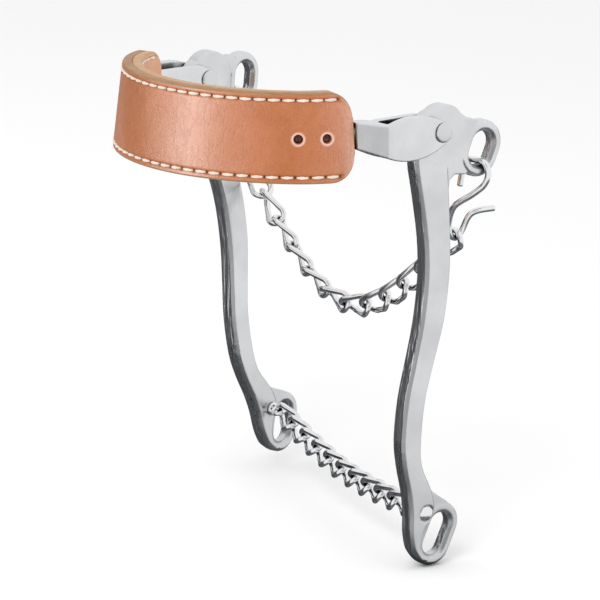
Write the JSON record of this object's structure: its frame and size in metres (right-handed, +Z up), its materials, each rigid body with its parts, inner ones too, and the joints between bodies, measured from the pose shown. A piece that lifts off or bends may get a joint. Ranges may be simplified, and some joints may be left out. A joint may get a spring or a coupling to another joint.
{
  "type": "bitless hackamore",
  "caption": "Bitless hackamore: stitched leather noseband riveted to two swinging metal shanks with oval rings, a curb chain on wire hooks and a lower chain between the shanks.",
  "frame": {"origin": "middle of the pivot axis of both shanks", "axes": "+X to the near (left) side along the pivot axis, +Y towards the back of the jaw, +Z up; the noseband's front is at -Y"},
  "size_m": [0.1859, 0.16, 0.2263],
  "materials": {
    "shank_steel": "satin, soft sheen with fine wear",
    "clevis_steel": "satin, forged and lightly polished",
    "pivot_rivet_steel": "satin, peened",
    "outer_leather": "smooth orange-tan harness leather, soft sheen",
    "lining_leather": "pale tan, matte",
    "core_steel": "plain, hidden in the leather",
    "tang_rivet_brass": "dark, aged",
    "thread": "waxed cream thread",
    "hook_chrome": "bright",
    "swivel_chrome": "bright",
    "curb_chain_chrome": "bright",
    "lower_chain_chrome": "bright"
  },
  "bodies": {
    "noseband": {"outer_leather": "outer_leather", "lining_leather": "lining_leather", "nose_core": "core_steel", "stitching": "thread", "near_clevis": "clevis_steel", "far_clevis": "clevis_steel", "near_pivot_rivet": "pivot_rivet_steel", "far_pivot_rivet": "pivot_rivet_steel", "near_tang_rivets": "tang_rivet_brass", "far_tang_rivets": "tang_rivet_brass"},
    "near_shank": {"near_shank": "shank_steel"},
    "far_shank": {"far_shank": "shank_steel"},
    "near_curb_hook": {"near_curb_hook": "hook_chrome"},
    "far_curb_hook": {"far_curb_hook": "hook_chrome"},
    "near_swivel": {"near_swivel": "swivel_chrome"},
    "far_swivel": {"far_swivel": "swivel_chrome"},
    "curb_link_01": {"curb_link_01": "curb_chain_chrome"},
    "curb_link_02": {"curb_link_02": "curb_chain_chrome"},
    "curb_link_03": {"curb_link_03": "curb_chain_chrome"},
    "curb_link_04": {"curb_link_04": "curb_chain_chrome"},
    "curb_link_05": {"curb_link_05": "curb_chain_chrome"},
    "curb_link_06": {"curb_link_06": "curb_chain_chrome"},
    "curb_link_07": {"curb_link_07": "curb_chain_chrome"},
    "curb_link_08": {"curb_link_08": "curb_chain_chrome"},
    "curb_link_09": {"curb_link_09": "curb_chain_chrome"},
    "curb_link_10": {"curb_link_10": "curb_chain_chrome"},
    "curb_link_11": {"curb_link_11": "curb_chain_chrome"},
    "curb_link_12": {"curb_link_12": "curb_chain_chrome"},
    "lower_link_01": {"lower_link_01": "lower_chain_chrome"},
    "lower_link_02": {"lower_link_02": "lower_chain_chrome"},
    "lower_link_03": {"lower_link_03": "lower_chain_chrome"},
    "lower_link_04": {"lower_link_04": "lower_chain_chrome"},
    "lower_link_05": {"lower_link_05": "lower_chain_chrome"},
    "lower_link_06": {"lower_link_06": "lower_chain_chrome"},
    "lower_link_07": {"lower_link_07": "lower_chain_chrome"},
    "lower_link_08": {"lower_link_08": "lower_chain_chrome"},
    "lower_link_09": {"lower_link_09": "lower_chain_chrome"},
    "lower_link_10": {"lower_link_10": "lower_chain_chrome"}
  },
  "joints": [
    {"name": "far_shank_swing", "type": "hinge", "parent": "noseband", "child": "far_shank", "pos_m": [0, 0, 0], "axis": [1, 0, 0], "range_deg": [-8, 35]},
    {"name": "near_shank_swing", "type": "hinge", "parent": "noseband", "child": "near_shank", "pos_m": [0, 0, 0], "axis": [1, 0, 0], "range_deg": [-8, 35]},
    {"name": "far_hook_swing", "type": "hinge", "parent": "far_shank", "child": "far_curb_hook", "pos_m": [-0.08475, 0.02699, -0.01192], "axis": [0.9991, -0.0144, -0.0389], "range_deg": [-3, 20]},
    {"name": "near_hook_swing", "type": "hinge", "parent": "near_shank", "child": "near_curb_hook", "pos_m": [0.08475, 0.02455, -0.01852], "axis": [0.9991, -0.0144, -0.0389], "range_deg": [-3, 20]},
    {"name": "curb_chain_swing", "type": "hinge", "parent": "far_curb_hook", "child": "curb_link_01", "pos_m": [-0.07801, 0.02941, -0.04759], "axis": [0.9986, -0.037, -0.0387], "range_deg": [-7, 7]},
    {"name": "curb_twist_07", "type": "hinge", "parent": "curb_link_01", "child": "curb_link_07", "pos_m": [0.00422, 0.02636, -0.1007], "axis": [0.9885, -0.0366, 0.1469], "range_deg": [-9, 9]},
    {"name": "curb_twist_02", "type": "hinge", "parent": "curb_link_01", "child": "curb_link_02", "pos_m": [-0.06179, 0.02881, -0.06464], "axis": [0.7011, -0.026, -0.7126], "range_deg": [-9, 9]},
    {"name": "curb_twist_03", "type": "hinge", "parent": "curb_link_01", "child": "curb_link_03", "pos_m": [-0.05054, 0.02839, -0.07558], "axis": [0.7314, -0.0271, -0.6815], "range_deg": [-9, 9]},
    {"name": "curb_twist_04", "type": "hinge", "parent": "curb_link_01", "child": "curb_link_04", "pos_m": [-0.03866, 0.02795, -0.0858], "axis": [0.7838, -0.029, -0.6203], "range_deg": [-9, 9]},
    {"name": "curb_twist_05", "type": "hinge", "parent": "curb_link_01", "child": "curb_link_05", "pos_m": [-0.02567, 0.02747, -0.09451], "axis": [0.8713, -0.0323, -0.4898], "range_deg": [-9, 9]},
    {"name": "curb_twist_06", "type": "hinge", "parent": "curb_link_01", "child": "curb_link_06", "pos_m": [-0.01119, 0.02693, -0.1001], "axis": [0.9742, -0.0361, -0.223], "range_deg": [-9, 9]},
    {"name": "curb_twist_08", "type": "hinge", "parent": "curb_link_01", "child": "curb_link_08", "pos_m": [0.01909, 0.02581, -0.09625], "axis": [0.9065, -0.0336, 0.4208], "range_deg": [-9, 9]},
    {"name": "curb_twist_09", "type": "hinge", "parent": "curb_link_01", "child": "curb_link_09", "pos_m": [0.03271, 0.02531, -0.08857], "axis": [0.8294, -0.0307, 0.5578], "range_deg": [-9, 9]},
    {"name": "curb_twist_10", "type": "hinge", "parent": "curb_link_01", "child": "curb_link_10", "pos_m": [0.04535, 0.02484, -0.0793], "axis": [0.7819, -0.029, 0.6228], "range_deg": [-9, 9]},
    {"name": "curb_twist_11", "type": "hinge", "parent": "curb_link_01", "child": "curb_link_11", "pos_m": [0.05741, 0.02439, -0.06926], "axis": [0.7541, -0.0279, 0.6562], "range_deg": [-9, 9]},
    {"name": "curb_twist_12", "type": "hinge", "parent": "curb_link_01", "child": "curb_link_12", "pos_m": [0.06911, 0.02396, -0.05882], "axis": [0.7373, -0.0273, 0.675], "range_deg": [-9, 9]},
    {"name": "lower_chain_swing", "type": "hinge", "parent": "far_shank", "child": "lower_link_01", "pos_m": [-0.07068, 0.0441, -0.17402], "axis": [0.9541, -0.2973, -0.0371], "range_deg": [-12, 12]},
    {"name": "far_swivel_turn", "type": "hinge", "parent": "far_shank", "child": "far_swivel", "pos_m": [-0.08182, 0.04373, -0.1742], "axis": [0.9938, 0.1079, 0.0281], "range_deg": [-12, 12]},
    {"name": "near_swivel_turn", "type": "hinge", "parent": "near_shank", "child": "near_swivel", "pos_m": [0.08182, -0.00159, -0.1796], "axis": [0.9938, -0.1115, 0], "range_deg": [-12, 12]},
    {"name": "lower_twist_06", "type": "hinge", "parent": "lower_link_01", "child": "lower_link_06", "pos_m": [0.00688, 0.01994, -0.18321], "axis": [0.9546, -0.2974, -0.0167], "range_deg": [-15, 15]},
    {"name": "lower_twist_02", "type": "hinge", "parent": "lower_link_01", "child": "lower_link_02", "pos_m": [-0.04966, 0.03755, -0.17775], "axis": [0.9433, -0.2939, -0.154], "range_deg": [-15, 15]},
    {"name": "lower_twist_03", "type": "hinge", "parent": "lower_link_01", "child": "lower_link_03", "pos_m": [-0.0356, 0.03317, -0.17985], "axis": [0.9468, -0.295, -0.1283], "range_deg": [-15, 15]},
    {"name": "lower_twist_04", "type": "hinge", "parent": "lower_link_01", "child": "lower_link_04", "pos_m": [-0.02148, 0.02877, -0.18152], "axis": [0.9503, -0.2961, -0.0959], "range_deg": [-15, 15]},
    {"name": "lower_twist_05", "type": "hinge", "parent": "lower_link_01", "child": "lower_link_05", "pos_m": [-0.00732, 0.02436, -0.18266], "axis": [0.9532, -0.297, -0.0575], "range_deg": [-15, 15]},
    {"name": "lower_twist_07", "type": "hinge", "parent": "lower_link_01", "child": "lower_link_07", "pos_m": [0.02108, 0.01551, -0.18317], "axis": [0.9545, -0.2974, 0.0217], "range_deg": [-15, 15]},
    {"name": "lower_twist_08", "type": "hinge", "parent": "lower_link_01", "child": "lower_link_08", "pos_m": [0.03528, 0.01109, -0.18261], "axis": [0.9533, -0.297, 0.0545], "range_deg": [-15, 15]},
    {"name": "lower_twist_09", "type": "hinge", "parent": "lower_link_01", "child": "lower_link_09", "pos_m": [0.04946, 0.00667, -0.1816], "axis": [0.9517, -0.2965, 0.0802], "range_deg": [-15, 15]},
    {"name": "lower_twist_10", "type": "hinge", "parent": "lower_link_01", "child": "lower_link_10", "pos_m": [0.06361, 0.00226, -0.18026], "axis": [0.95, -0.296, 0.0997], "range_deg": [-15, 15]}
  ],
  "couplings": [
    {"joint": "near_shank_swing", "follows": "far_shank_swing", "ratio": 1},
    {"joint": "near_hook_swing", "follows": "far_hook_swing", "ratio": 1},
    {"joint": "curb_twist_02", "follows": "curb_twist_07", "ratio": 0.38599},
    {"joint": "curb_twist_03", "follows": "curb_twist_07", "ratio": 0.61401},
    {"joint": "curb_twist_04", "follows": "curb_twist_07", "ratio": 0.8002},
    {"joint": "curb_twist_05", "follows": "curb_twist_07", "ratio": 0.93185},
    {"joint": "curb_twist_06", "follows": "curb_twist_07", "ratio": 1},
    {"joint": "curb_twist_08", "follows": "curb_twist_07", "ratio": 0.93185},
    {"joint": "curb_twist_09", "follows": "curb_twist_07", "ratio": 0.8002},
    {"joint": "curb_twist_10", "follows": "curb_twist_07", "ratio": 0.61401},
    {"joint": "curb_twist_11", "follows": "curb_twist_07", "ratio": 0.38599},
    {"joint": "curb_twist_12", "follows": "curb_twist_07", "ratio": 0.13165},
    {"joint": "far_swivel_turn", "follows": "lower_chain_swing", "ratio": 1},
    {"joint": "near_swivel_turn", "follows": "lower_chain_swing", "ratio": 1},
    {"joint": "lower_twist_02", "follows": "lower_twist_06", "ratio": 0.45965},
    {"joint": "lower_twist_03", "follows": "lower_twist_06", "ratio": 0.71592},
    {"joint": "lower_twist_04", "follows": "lower_twist_06", "ratio": 0.90211},
    {"joint": "lower_twist_05", "follows": "lower_twist_06", "ratio": 1},
    {"joint": "lower_twist_07", "follows": "lower_twist_06", "ratio": 0.90211},
    {"joint": "lower_twist_08", "follows": "lower_twist_06", "ratio": 0.71592},
    {"joint": "lower_twist_09", "follows": "lower_twist_06", "ratio": 0.45965},
    {"joint": "lower_twist_10", "follows": "lower_twist_06", "ratio": 0.15838}
  ]
}
